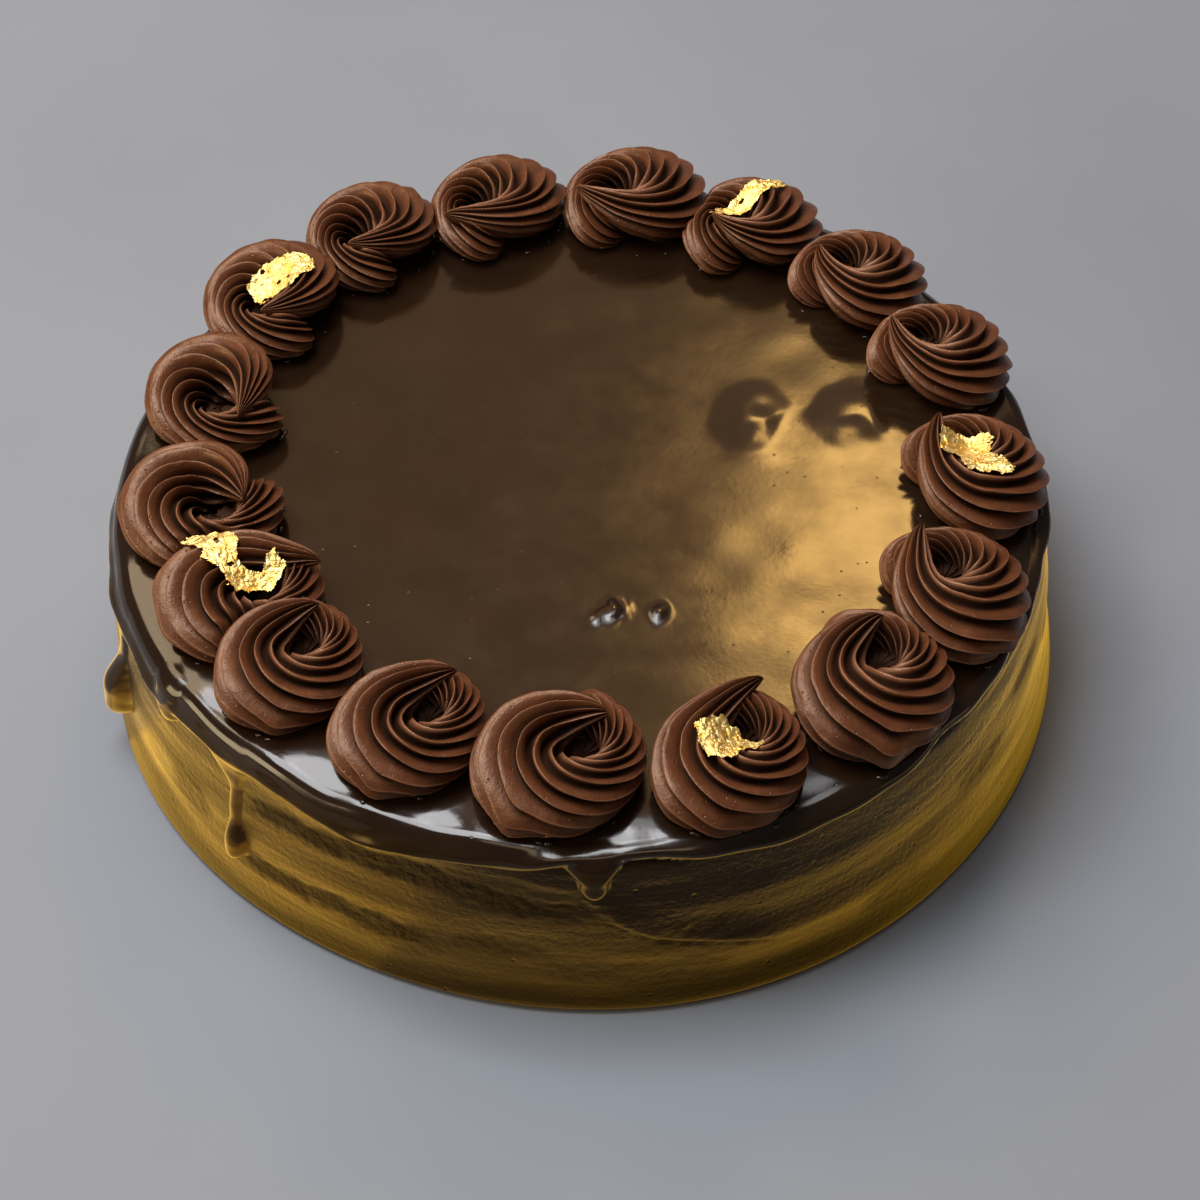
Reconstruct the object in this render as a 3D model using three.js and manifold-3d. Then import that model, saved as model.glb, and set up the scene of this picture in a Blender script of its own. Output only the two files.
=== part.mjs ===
// Chocolate mud cake: a round iced cake under a poured glaze, with a border of piped rosettes
// and flakes of gold leaf on some of them.
// Millimetres, +Z up. The origin is the middle of the base.
import * as THREE from "three";
import Module from "manifold-3d";

const wasm = await Module();
wasm.setup();

const GAP = 0.3; // left between pieces that touch

// Iced cake
const FOOT_RADIUS = 102;
const FOOT_BEVEL = 1.2;
const WALL_TOP_RADIUS = 97.4;
const CAKE_TOP = 43.7;
const SHOULDER_RADIUS = 3;
const WALL_WOBBLE = 0.9; // how far the hand-spread wall strays from a circle
const COLUMNS = 56; // facets round the cake and its glaze

// Poured glaze
const GLAZE_TOP = 46;
const GLAZE_ON_WALL = 1.1;
const LIP_BEAD = 1.6; // thickness of the lip at its lower edge
const RUN_MEAN = 6; // how far the glaze runs over the edge, measured along the surface
const RUN_SWING = 2.8;
const RUN_HEADING = 170; // side with the longest run, in degrees
const RUN_RIPPLE = 0.6;

// Drips: azimuth in degrees, length below the lip, width and thickness at the tip
const DRIPS = [
  { azimuth: -163.5, length: 27, width: 8.6, bulb: 4.6 },
  { azimuth: -148, length: 3, width: 6, bulb: 1.9 },
  { azimuth: -135, length: 25, width: 5.4, bulb: 2.6 },
  { azimuth: -89, length: 6, width: 5.6, bulb: 2.2 },
  { azimuth: 24, length: 8, width: 5, bulb: 2.2 },
  { azimuth: 71, length: 17, width: 5.4, bulb: 2.5 },
  { azimuth: 128, length: 10, width: 5.2, bulb: 2.3 },
];

// Piped rosette: one turn of a star-tip bead that widens as it goes, twisted once, its tail laid over
// its start. The hollow that it turns about lies off the middle of the rosette.
const ROSETTE_WIDTH = 31.5; // width that the sizes below are given for
const HOLLOW_RADIUS = 1.6;
const HOLLOW_FLOOR = 2.6;
const BEAD_SLIM = 3.7; // half the width of the bead at its narrowest and at its widest
const BEAD_WIDE = 10.4;
const WIDE_HEADING = -54; // where the bead is widest, in degrees
const BEAD_MIDDLE = 4.7; // middle of the bead above the glaze
const RISE_SLIM = 5; // height of the bead above its middle, where narrowest and where widest
const RISE_WIDE = 7.4;
const TEETH = 12;
const TOOTH_DEPTH = 0.24; // share of the bead's half width
const BEAD_ANGLES = [-50, -15, 25, 65, 105, 145, 180]; // from the foot outside to the hollow, in degrees
const TAIL_ROOT = [-7, -6, 5.6]; // from the hollow's axis
const TAIL_TIP = [-5, 4, 12.6];
const TAIL_RADIUS = 5.5;
const TAIL_STAGES = [0, 0.45, 0.82];
const TAIL_TAPER = 0.75;
const TAIL_TEETH = 5;

// Border: orbit radius, azimuth, width, turn from the usual heading and reach of the tail
const ROSETTES = [
  [85.4, 79.9, 33.2, -23, 1.1],
  [84.8, 61.6, 31.3, -2, 1],
  [84, 41.2, 30.5, -26, 0.8],
  [84.7, 21.2, 31.2, -6, 0.95],
  [82.4, -4.2, 32.6, -11, 1.05],
  [84.4, -27.6, 33.2, 6, 1],
  [83.7, -48.6, 35.2, -9, 1],
  [84.7, -72, 33.3, 0, 1.2],
  [80.4, -94.9, 34.6, -5, 0.95],
  [79.7, -116.6, 32, 27, 1],
  [80.8, -137.3, 31.8, 64, 0.85],
  [79.6, -153.6, 34.4, 29, 1.3],
  [81.4, -173.3, 34.2, 18, 0.7],
  [82.5, 162.7, 33, 0, 1.2],
  [86.7, 140.8, 33, -12, 1],
  [88, 121.3, 31.6, -10, 0.95],
  [85.4, 101.4, 31.5, -17, 1.15],
];

// Gold leaf: rosette it lies on, middle and heading in that rosette's own frame, length, width,
// how ragged its edge is and how much it buckles
const LEAF_THICKNESS = 0.4;
const LEAF_COLUMNS = 14;
const LEAF_DRAPE = 2.2; // how far about each point of the leaf the cream holds it up
const LEAVES = [
  { rosette: 2, x: 2.5, y: 2, heading: -30, length: 18, width: 7, ragged: 0.12, buckle: 0.5 },
  { rosette: 5, x: 0, y: 1, heading: -41, length: 16, width: 11, ragged: 0.22, buckle: 0.6 },
  { rosette: 8, x: 0, y: -1, heading: -24, length: 13, width: 11.5, ragged: 0.16, buckle: 0.4 },
  { rosette: 12, x: -2, y: -4, heading: 124, length: 22, width: 9, ragged: 0.2, buckle: 0.7 },
  { rosette: 15, x: -2, y: -2, heading: 73, length: 15, width: 9, ragged: 0.08, buckle: 0.5 },
];

const WALL_DROP = CAKE_TOP - SHOULDER_RADIUS - FOOT_BEVEL;
const WALL_SLOPE = (FOOT_RADIUS - WALL_TOP_RADIUS) / WALL_DROP;
const SHOULDER_ARC = SHOULDER_RADIUS * Math.PI / 2;

const ICING = { color: 0x2e2118, roughness: 0.45, metalness: 0 };
const GLAZE = { color: 0x23150d, roughness: 0.15, metalness: 0 };
const CREAM = { color: 0x4a2f1f, roughness: 0.55, metalness: 0 };
const GOLD = { color: 0xd8ad5a, roughness: 0.3, metalness: 1 };

// Repeatable draws between 0 and 1
function seededDraws(seed) {
  let state = seed;
  return () => {
    state = (state * 16807) % 2147483647;
    return state / 2147483647;
  };
}

// Joins rings of equally many points into one closed body with a point at either end.
// From the crossed ring on, the quads are split along their other diagonal.
function closedSkin(first, rings, last, crossed = rings.length) {
  const points = [first, ...rings.flat(), last];
  const count = rings[0].length;
  const final = points.length - 1;
  const at = (ring, step) => 1 + ring * count + (step % count);
  const faces = [];
  for (let step = 0; step < count; step += 1) {
    faces.push(0, at(0, step + 1), at(0, step));
    for (let ring = 1; ring < rings.length; ring += 1) {
      const near = ring < crossed ? step : step + 1;
      const far = ring < crossed ? step + 1 : step;
      faces.push(at(ring - 1, step), at(ring - 1, step + 1), at(ring, far));
      faces.push(at(ring - 1, near), at(ring, step + 1), at(ring, step));
    }
    faces.push(final, at(rings.length - 1, step), at(rings.length - 1, step + 1));
  }
  const geometry = new THREE.BufferGeometry();
  geometry.setFromPoints(points);
  geometry.setIndex(faces);
  return geometry;
}

function solidOf(geometry) {
  const vertProperties = new Float32Array(geometry.attributes.position.array);
  const triVerts = new Uint32Array(geometry.index.array);
  return new wasm.Manifold(new wasm.Mesh({ numProp: 3, vertProperties, triVerts }));
}

function geometryOf(solid) {
  const mesh = solid.getMesh();
  const geometry = new THREE.BufferGeometry();
  geometry.setAttribute("position", new THREE.BufferAttribute(mesh.vertProperties, 3));
  geometry.setIndex(Array.from(mesh.triVerts));
  return geometry;
}

function namedMesh(name, geometry, look) {
  geometry.computeVertexNormals();
  const mesh = new THREE.Mesh(geometry, new THREE.MeshStandardMaterial(look));
  mesh.name = name;
  return mesh;
}

function wobble(turn) {
  return WALL_WOBBLE * (0.75 * Math.cos(3 * turn + Math.PI) + 0.25 * Math.cos(5 * turn + 0.6));
}

// Point on the iced cake, a run from where the flat top turns over, lifted off the surface
function onIcing(run, turn, lift) {
  const bend = Math.min(run / SHOULDER_RADIUS, Math.PI / 2);
  const drop = Math.max(run - SHOULDER_ARC, 0);
  const reach = SHOULDER_RADIUS + lift;
  const flat = WALL_TOP_RADIUS - SHOULDER_RADIUS + wobble(turn);
  const radius = flat + reach * Math.sin(bend) + drop * WALL_SLOPE;
  const height = CAKE_TOP - SHOULDER_RADIUS + reach * Math.cos(bend) - drop;
  return new THREE.Vector3(radius * Math.cos(turn), radius * Math.sin(turn), height);
}

function evenTurns(count) {
  return Array.from({ length: count }, (_, step) => 2 * Math.PI * step / count);
}

function cakeGeometry() {
  const turns = evenTurns(COLUMNS);
  const foot = turns.map((turn) => {
    const radius = FOOT_RADIUS - FOOT_BEVEL + wobble(turn);
    return new THREE.Vector3(radius * Math.cos(turn), radius * Math.sin(turn), 0);
  });
  const runs = [SHOULDER_ARC + WALL_DROP, SHOULDER_ARC, SHOULDER_ARC / 2, 0];
  const wall = runs.map((run) => turns.map((turn) => onIcing(run, turn, 0)));
  const top = new THREE.Vector3(0, 0, CAKE_TOP);
  return closedSkin(new THREE.Vector3(0, 0, 0), [foot, ...wall], top);
}

// How far past the shoulder the plain lip of the glaze runs
function lipRun(turn) {
  const swing = RUN_SWING * Math.cos(turn - THREE.MathUtils.degToRad(RUN_HEADING));
  const ripple = Math.cos(7 * turn + 1) + 0.7 * Math.cos(12 * turn);
  return RUN_MEAN + swing + RUN_RIPPLE * ripple;
}

// Columns of the glaze: an even ring of them, with closer ones across each drip
function glazeColumns() {
  const columns = evenTurns(COLUMNS).map((turn) => ({ turn, run: lipRun(turn), bead: LIP_BEAD }));
  const shares = [-0.62, -0.46, 0, 0.46, 0.62];
  const across = DRIPS.flatMap((drip) => shares.map((share) => {
    const middle = THREE.MathUtils.degToRad(drip.azimuth);
    const turn = (middle + share * drip.width / WALL_TOP_RADIUS + 2 * Math.PI) % (2 * Math.PI);
    const round = Math.sqrt(Math.max(0.25 - share * share, 0));
    const past = round > 0 ? drip.length - drip.width * (0.5 - round) : 0;
    const bead = round > 0 ? 0.9 + (drip.bulb - 0.9) * 2 * round : LIP_BEAD * 0.8;
    return { turn, run: lipRun(middle) + past, bead };
  }));
  const clear = columns.filter((column) => across.every((other) => {
    const apart = Math.abs(column.turn - other.turn);
    return Math.min(apart, 2 * Math.PI - apart) > 0.012;
  }));
  return [...clear, ...across].sort((one, other) => one.turn - other.turn);
}

function glazeGeometry() {
  const columns = glazeColumns();
  const ring = (run, lift) => columns.map((column) => onIcing(run(column), column.turn, lift(column)));
  const under = () => GAP;
  const crown = GLAZE_TOP - CAKE_TOP;
  const onWall = () => GAP + GLAZE_ON_WALL;
  const rings = [
    ring(() => 0, under),
    ring((column) => Math.min(SHOULDER_ARC / 2, 0.4 * column.run), under),
    ring((column) => Math.min(SHOULDER_ARC, 0.7 * column.run), under),
    ring((column) => column.run, under),
    ring((column) => column.run + 0.3, (column) => GAP + 0.5 * column.bead),
    ring((column) => column.run - 0.7, (column) => GAP + column.bead),
    ring((column) => column.run - Math.min(3.5, 0.42 * column.run), (column) => GAP + 0.85 * column.bead),
    ring((column) => column.run - Math.min(8, 0.56 * column.run), onWall),
    ring((column) => Math.min(3.6, 0.34 * column.run), () => GAP + 1.5),
    ring((column) => Math.min(1.6, 0.16 * column.run), () => crown - 0.3),
    ring(() => 0, () => crown),
  ];
  const first = new THREE.Vector3(0, 0, CAKE_TOP + GAP);
  return closedSkin(first, rings, new THREE.Vector3(0, 0, GLAZE_TOP));
}

// Ring of the rosette: ridges run from the foot, over the top and down into the hollow as they go round.
// A swollen ring drops straight from its widest row to its foot.
function ringGeometry(swell) {
  const widest = THREE.MathUtils.degToRad(WIDE_HEADING);
  const angles = swell > 0 ? [BEAD_ANGLES[1], ...BEAD_ANGLES.slice(1)] : BEAD_ANGLES;
  const rings = angles.map((degrees, row) => {
    const angle = THREE.MathUtils.degToRad(degrees);
    return Array.from({ length: 2 * TEETH }, (_, step) => {
      const turn = Math.PI * step / TEETH - angle;
      const share = 0.5 + 0.5 * Math.cos(turn - widest);
      const tooth = step % 2 === 0 ? 1 : 1 - TOOTH_DEPTH;
      const half = THREE.MathUtils.lerp(BEAD_SLIM, BEAD_WIDE, share);
      const rise = THREE.MathUtils.lerp(RISE_SLIM, RISE_WIDE, share) * tooth + swell;
      const radius = HOLLOW_RADIUS + half + (half * tooth + swell) * Math.cos(angle);
      const height = row === 0 ? -swell : BEAD_MIDDLE + rise * Math.sin(angle);
      return new THREE.Vector3(radius * Math.cos(turn), radius * Math.sin(turn), height);
    });
  });
  const foot = new THREE.Vector3(0, 0, -swell);
  return closedSkin(foot, rings, new THREE.Vector3(0, 0, HOLLOW_FLOOR + swell));
}

// Tail of the rosette, leaving the ring straight on and tapering to a raised tip
function tailGeometry(reach, swell) {
  const root = new THREE.Vector3(...TAIL_ROOT);
  const far = new THREE.Vector3(...TAIL_TIP);
  const length = root.distanceTo(far);
  const tip = root.clone().lerp(far, reach + 2 * swell / length).setZ(far.z);
  const rings = TAIL_STAGES.map((along) => {
    const half = TAIL_RADIUS * (1 - along) ** TAIL_TAPER;
    const middle = root.clone().lerp(tip, along);
    return Array.from({ length: 2 * TAIL_TEETH }, (_, step) => {
      const angle = Math.PI * step / TAIL_TEETH;
      const bead = half * (step % 2 === 0 ? 1 : 1 - TOOTH_DEPTH) + swell;
      return middle.clone().add(new THREE.Vector3(-bead * Math.cos(angle), 0, bead * Math.sin(angle)));
    });
  });
  return closedSkin(root, rings, tip.setZ(far.z + swell));
}

// The hollow's axis is set off so that the middle of the rosette falls on its place in the border
function rosettePlace([orbit, azimuth, width, turn]) {
  const heading = THREE.MathUtils.degToRad(azimuth);
  const scale = width / ROSETTE_WIDTH;
  const facing = heading + THREE.MathUtils.degToRad(turn);
  const shift = scale * (BEAD_WIDE - BEAD_SLIM);
  const toHollow = facing + THREE.MathUtils.degToRad(WIDE_HEADING) + Math.PI;
  const x = orbit * Math.cos(heading) + shift * Math.cos(toHollow);
  const y = orbit * Math.sin(heading) + shift * Math.sin(toHollow);
  const place = new THREE.Matrix4().makeRotationZ(facing);
  place.scale(new THREE.Vector3(scale, scale, scale));
  return place.setPosition(x, y, GLAZE_TOP + GAP);
}

// Rosettes in the cake's frame, each cut back where the next one up lies over it
function borderGeometries() {
  const placed = (row, swell) => {
    const place = rosettePlace(row);
    const ring = solidOf(ringGeometry(swell).applyMatrix4(place));
    return ring.add(solidOf(tailGeometry(row[4], swell).applyMatrix4(place)));
  };
  return ROSETTES.map((row, index) => {
    const over = ROSETTES[(index + ROSETTES.length - 1) % ROSETTES.length];
    const pieces = placed(row, 0).subtract(placed(over, GAP + 0.05)).decompose();
    pieces.sort((one, other) => other.volume() - one.volume());
    return geometryOf(pieces[0]);
  });
}

// Highest point of some bodies within a reach of a spot, or the given floor where there is none
function topNear(bodies, x, y, reach, floor) {
  const caster = new THREE.Raycaster();
  const down = new THREE.Vector3(0, 0, -1);
  let top = floor;
  for (const dx of [-1, -0.5, 0, 0.5, 1]) {
    for (const dy of [-1, -0.5, 0, 0.5, 1]) {
      caster.set(new THREE.Vector3(x + reach * dx, y + reach * dy, 100), down);
      const hits = caster.intersectObjects(bodies);
      if (hits.length > 0) {
        top = Math.max(top, hits[0].point.z);
      }
    }
  }
  return top;
}

// Thin leaf draped over the rosettes under it, its two faces split alike
function leafGeometry(leaf, bodies, seed) {
  const draw = seededDraws(seed);
  const [orbit, azimuth] = ROSETTES[leaf.rosette - 1];
  const radial = THREE.MathUtils.degToRad(azimuth);
  const heading = THREE.MathUtils.degToRad(leaf.heading);
  const spread = evenTurns(LEAF_COLUMNS).map((turn) => {
    const corner = Math.max(Math.abs(Math.cos(turn)), Math.abs(Math.sin(turn)));
    return (1 + leaf.ragged * (2 * draw() - 1)) / corner ** 0.7;
  });
  const floor = GLAZE_TOP + 7;
  const spot = (share, step) => {
    const turn = 2 * Math.PI * step / LEAF_COLUMNS;
    const along = 0.5 * leaf.length * share * spread[step] * Math.cos(turn);
    const across = 0.5 * leaf.width * share * spread[step] * Math.sin(turn);
    const x = orbit + leaf.x + along * Math.cos(heading) - across * Math.sin(heading);
    const y = leaf.y + along * Math.sin(heading) + across * Math.cos(heading);
    const point = new THREE.Vector3(x, y, 0).applyAxisAngle(new THREE.Vector3(0, 0, 1), radial);
    const wave = leaf.buckle * (1 + Math.sin(0.9 * along + 0.5 * across));
    point.z = topNear(bodies, point.x, point.y, LEAF_DRAPE, floor) + GAP + wave;
    return point;
  };
  const shares = [0.5, 1];
  const lower = shares.map((share) => spread.map((_, step) => spot(share, step)));
  const lift = new THREE.Vector3(0, 0, LEAF_THICKNESS);
  const upper = lower.map((ring) => ring.map((point) => point.clone().add(lift))).reverse();
  const middle = spot(0, 0);
  return closedSkin(middle, [...lower, ...upper], middle.clone().add(lift), lower.length + 1);
}

const cake = new THREE.Group();
cake.add(namedMesh("cake", cakeGeometry(), ICING));
cake.add(namedMesh("glaze", glazeGeometry(), GLAZE));

const border = borderGeometries().map((geometry, index) => (
  namedMesh(`rosette_${String(index + 1).padStart(2, "0")}`, geometry, CREAM)
));
cake.add(...border);

LEAVES.forEach((leaf, index) => {
  const geometry = leafGeometry(leaf, border, 41 + index);
  cake.add(namedMesh(`gold_leaf_${index + 1}`, geometry, GOLD));
});

export default cake;
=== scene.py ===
# Chocolate mud cake: a round iced cake under a poured glaze, with a border of piped rosettes and flakes
# of gold leaf. Sizes are in millimetres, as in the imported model, and become metres when a mesh is made.
# Lights and the camera are placed in metres.
import itertools
import math

import bpy
import numpy as np
from mathutils import Matrix
from mathutils import Vector
from mathutils.bvhtree import BVHTree


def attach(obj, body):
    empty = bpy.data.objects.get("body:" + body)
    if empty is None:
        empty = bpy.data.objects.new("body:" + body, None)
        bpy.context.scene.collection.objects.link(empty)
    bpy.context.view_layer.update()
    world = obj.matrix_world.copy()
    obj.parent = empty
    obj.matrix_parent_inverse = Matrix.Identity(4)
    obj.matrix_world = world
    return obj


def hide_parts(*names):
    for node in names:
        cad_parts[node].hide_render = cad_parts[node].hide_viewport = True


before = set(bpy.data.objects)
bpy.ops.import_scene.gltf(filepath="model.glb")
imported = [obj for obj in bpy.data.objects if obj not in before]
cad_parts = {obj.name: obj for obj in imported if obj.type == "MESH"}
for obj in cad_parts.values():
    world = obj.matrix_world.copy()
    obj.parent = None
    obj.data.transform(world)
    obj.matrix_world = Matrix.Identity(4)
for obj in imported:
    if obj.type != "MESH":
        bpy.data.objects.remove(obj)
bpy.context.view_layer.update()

MM = 0.001

# Iced cake
FOOT_RADIUS = 102
FOOT_BEVEL = 1.2
WALL_TOP_RADIUS = 97.4
CAKE_TOP = 43.7
SHOULDER_RADIUS = 3
WALL_WOBBLE = 0.9
WALL_DROP = CAKE_TOP - SHOULDER_RADIUS - FOOT_BEVEL
WALL_SLOPE = (FOOT_RADIUS - WALL_TOP_RADIUS) / WALL_DROP
SHOULDER_ARC = SHOULDER_RADIUS * math.pi / 2
ICING_COLUMNS = 1000
SHOULDER_ROWS = 6
WALL_ROWS = 72

# Poured glaze
GLAZE_TOP = 46
RUN_MEAN = 6
RUN_SWING = 2.8
RUN_HEADING = 170
RUN_RIPPLE = 0.6
FRONT_SHORT = 2.4
LIP_THICK = 1.5
EDGE_SAG = 1.1
EDGE_DIVE = 8  # how steeply the glaze's hidden edge runs in under the icing
HIDDEN_LIFT = -0.15  # the glaze is left out where it lies deeper than this
GLAZE_COLUMNS = 460
DRIP_COLUMNS = 32
DRIP_REACH = 7  # the closer columns span so much to either side of a drip

# Drips: azimuth in degrees, length below the lip, width, thickness at the tip and width of the web beside it
DRIPS = [
    (-163.5, 27, 9.2, 4.8, 3),
    (-148, 3, 6, 1.9, 2),
    (-135, 25, 5.4, 2.6, 9),
    (-89, 8.4, 5.6, 2.2, 1.5),
    (24, 8, 5, 2.2, 2),
    (71, 17, 5.4, 2.5, 5),
    (128, 10, 5.2, 2.3, 3),
]

# Lines across the icing, as azimuths in degrees and heights: two torn bands, the ledge a knife left and
# the lower edge of the thin film under the lip
TORN_HIGH = [(-133, 31), (-122, 32), (-110, 33.5), (-99, 30.5), (-89, 28.5)]
TORN_LOW = [(-134, 14), (-122, 15.5), (-108, 15)]
LEDGE = [(-90, 27.5), (-87, 25.7), (-82.5, 21), (-75, 17.5), (-69, 14.3)]
FILM_EDGE = [(-126, 40), (-112, 37.5), (-99, 37), (-91, 33.5), (-88, 28.5), (-85.3, 22.8),
             (-82.5, 21), (-75, 17.5), (-69.5, 14), (-60, 14), (-44, 20)]

# Marks in the glaze: place, length, width, heading in degrees, height and how uneven it is
MARKS = [
    (36, 19, 24, 18, 80, 0.72, 0.3),
    (58, 19, 24, 20, 98, 0.68, 0.4),
    (5, -37, 13, 6, 35, 0.75, 1),
    (15, -37, 7, 6, 0, 0.7, 1),
]

# Piped rosette, in sizes for the usual width, with angles about its hollow
ROSETTE_WIDTH = 31.5
HOLLOW_RADIUS = 3.1
HOLLOW_SWIRL = 2.2  # turn of the ridges between the hollow's rim and its floor
HOLLOW_SHIFT = 6.4
HOLLOW_HEADING = 126
BEAD_SLIM = 3.8
BEAD_WIDE = 8.5
WIDE_HEADING = -70
BEAD_MIDDLE = 4.7
RISE_SLIM = 5
RISE_WIDE = 7.4
TEETH = 13
TOOTH_DEPTH = 0.36
ACROSS_TOOTH = [0, 0.03, 0.08, 0.2, 0.38, 0.56, 0.72, 0.84, 0.93, 0.975]  # from one ridge toward the next
BEAD_START = 248
START_TAPER = 75
TAIL_START = -60
TAIL_BEND = -80
TAIL_EASE = 3.4
TIP_TURN = 138
TIP_ORBIT = 5.6
TIP_HEIGHT = 10.6
LOBE_TURN = -31
EDGE_DROOP = 1.2
RING_STEPS = 84
TAIL_STEPS = 48

# Border: orbit radius, azimuth, width, turn from the usual heading, reach of the tail, size of the lobe of
# cream that sags at the foot and height of the hollow's floor
ROSETTES = [
    (85.4, 79.9, 33.2, -23, 1.6, 0.4, 2.4),
    (84.8, 61.6, 31.3, -2, 0.85, 0.8, 2.4),
    (84, 41.2, 30.5, -26, 1.1, 0, 2.4),
    (84.7, 21.2, 31.2, -6, 1.45, 0.4, 2.8),
    (82.4, -4.2, 32.6, -11, 1.6, 0.4, 2.4),
    (84.4, -27.6, 33.2, 6, 1.6, 0.8, 2.8),
    (83.7, -48.6, 35.2, -9, 1.1, 1.6, 3.6),
    (84.7, -72, 33.3, 0, 2, 0.6, 2.4),
    (80.4, -94.9, 34.6, -5, 1.1, 1.5, 2.4),
    (79.7, -116.6, 32, 27, 1.55, 1.2, 2.4),
    (80.8, -137.3, 31.8, 64, 1.35, 0.9, 2.4),
    (79.6, -153.6, 34.4, 29, 2.05, 0.5, 3),
    (81.4, -173.3, 34.2, 18, 0.95, 0.6, 4.6),
    (82.5, 162.7, 33, 0, 1.6, 0.4, 4.4),
    (86.7, 140.8, 33, -12, 1, 0.6, 4),
    (88, 121.3, 31.6, -10, 1.05, 0, 3.6),
    (85.4, 101.4, 31.5, -17, 1.9, 0.5, 2.4),
]

# Gold leaf: rosette it lies on and its outline in that rosette's frame, X away from the cake's axis
LEAVES = [
    (2, [(-7, 9), (-3.7, 9.3), (-1.9, 7.7), (2.2, 6.2), (6, 5.6), (8.6, 2.6), (10.6, 0.1), (9.2, -2.3),
         (7.2, -2), (4.4, 0.5), (0.9, 1.3), (-2.1, 1.9), (-4.3, 3.9), (-4.8, 6.3), (-7.5, 7.4)]),
    (5, [(-8, 8.4), (-3.8, 9.4), (1.6, 9.6), (2.8, 5.4), (1.8, 3), (4.4, 0), (7, -2.6), (6, -5), (-3, -4.6),
         (-4.6, 0.8), (-7.4, 0), (-9, 2.6)]),
    (8, [(-5.3, -3.9), (-6.6, 2.3), (-4.2, 5), (-1.2, 4.8), (0.8, 8.2), (3.4, 6.4), (2.2, 3.4), (4.6, 1),
         (3.6, -4.2), (-1.8, -4.6)]),
    (12, [(4.8, -12.4), (2.9, -13.3), (-3, -10.2), (-5, -9.5), (-5.6, -7.3), (-4.3, -3.4), (-4.7, -0.1),
          (-7.4, 1.3), (-9.3, -0.7), (-11.1, -1), (-11.9, 2.2), (-10.4, 4.4), (-7.6, 6), (-5.5, 4.6),
          (-0.6, 4.6), (0.3, 3.4), (1.1, -1.6), (3.3, -4.2), (1.8, -6.5), (2.8, -9.4)]),
    (15, [(2.4, 6.1), (3.1, 3.3), (2.2, 0.9), (0.6, -5.1), (-2.3, -7.4), (-5.6, -7.1), (-8.4, -5.1),
          (-7.5, -1.6), (-6.7, 4), (-4.8, 7.4), (-0.9, 7.7)]),
]
LEAF_STEP = 0.25
LEAF_LIFT = 0.15
LEAF_THICK = 0.08
DRAPE_ROUNDS = 400

# Drops of glaze beside each rosette
DROPS_EACH = 11
DROP_RINGS = 7
DROP_SIDES = 10

# Soft lights, in metres and watts: name, place, aim, size, power and colour
LIGHTS = [
    ("overhead", (-0.34, 0.08, 1.08), (0, 0, 0.03), (0.68, 0.6), 14.2, (0.97, 0.98, 1)),
    ("overhead_back", (0.05, 0.32, 1.1), (0, 0, 0.03), (0.5, 0.26), 1.5, (0.97, 0.98, 1)),
    ("left_back", (-0.6, 0.62, 0.95), (0, 0, 0.03), (0.5, 0.4), 3.4, (1, 0.74, 0.46)),
    ("left_soft", (-1.2, -0.35, 0.4), (0, 0, 0.03), (0.7, 0.5), 8.5, (1, 0.82, 0.52)),
    ("right_soft", (1.2, -0.3, 0.35), (0, 0, 0.03), (0.5, 0.4), 0.6, (1, 0.75, 0.35)),
    ("front_fill", (0, -0.6, 1.15), (0, 0, 0.03), (0.7, 0.25), 1.4, (1, 0.74, 0.45)),
    ("warm_card", (0.232, 1, 1.149), (0.08, -0.01, 0.046), (0.24, 0.205), 2.45, (1, 0.58, 0.17)),
    ("warm_glow", (0.21, 1.04, 1.16), (0.08, -0.01, 0.046), (0.34, 0.38), 0.1, (1, 0.6, 0.2)),
    ("back_panel", (0, 1.16, 1.22), (0, 0, 0.046), (1.3, 1.1), 2.75, (1, 0.55, 0.24)),
]

# Warm glows that lie beside the foot, where the wall mirrors them: name, place, width across and power
GLOWS = [
    ("low_glow", (-0.001, -0.002, 0.0006), 0.248, 0.22),
    ("low_glow_left", (-0.098, -0.086, 0.0008), 0.11, 0.046),
]
GLOW_COLOUR = (1, 0.55, 0.01)
STUDIO_COLOUR = (0.95, 0.97, 1, 1)
STUDIO_STRENGTH = 0.08

# Camera at the photograph's place: its right, up and back directions, its position and its lens
CAMERA_RIGHT = (0.99989, -0.01103, -0.00992)
CAMERA_UP = (0.01483, 0.7434, 0.6687)
CAMERA_BACK = (0, -0.6688, 0.7435)
CAMERA_PLACE = (0.0033, -0.4588, 0.5191)
CAMERA_LENS = 94.28
CAMERA_SENSOR = 36

FLOOR_HALF = 3
FLOOR_LEVEL = -0.0004


def smooth(low, high, value):
    """Eases from 0 at low to 1 at high."""
    share = np.clip((value - low) / (high - low), 0, 1)
    return share * share * (3 - 2 * share)


def blend(first, second, share):
    return first + (second - first) * share


def soft_top(first, second, reach):
    """The higher of two fields, rounded over where they meet."""
    near = np.maximum(reach - np.abs(first - second), 0) / reach
    return np.maximum(first, second) + 0.25 * reach * near * near


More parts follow.
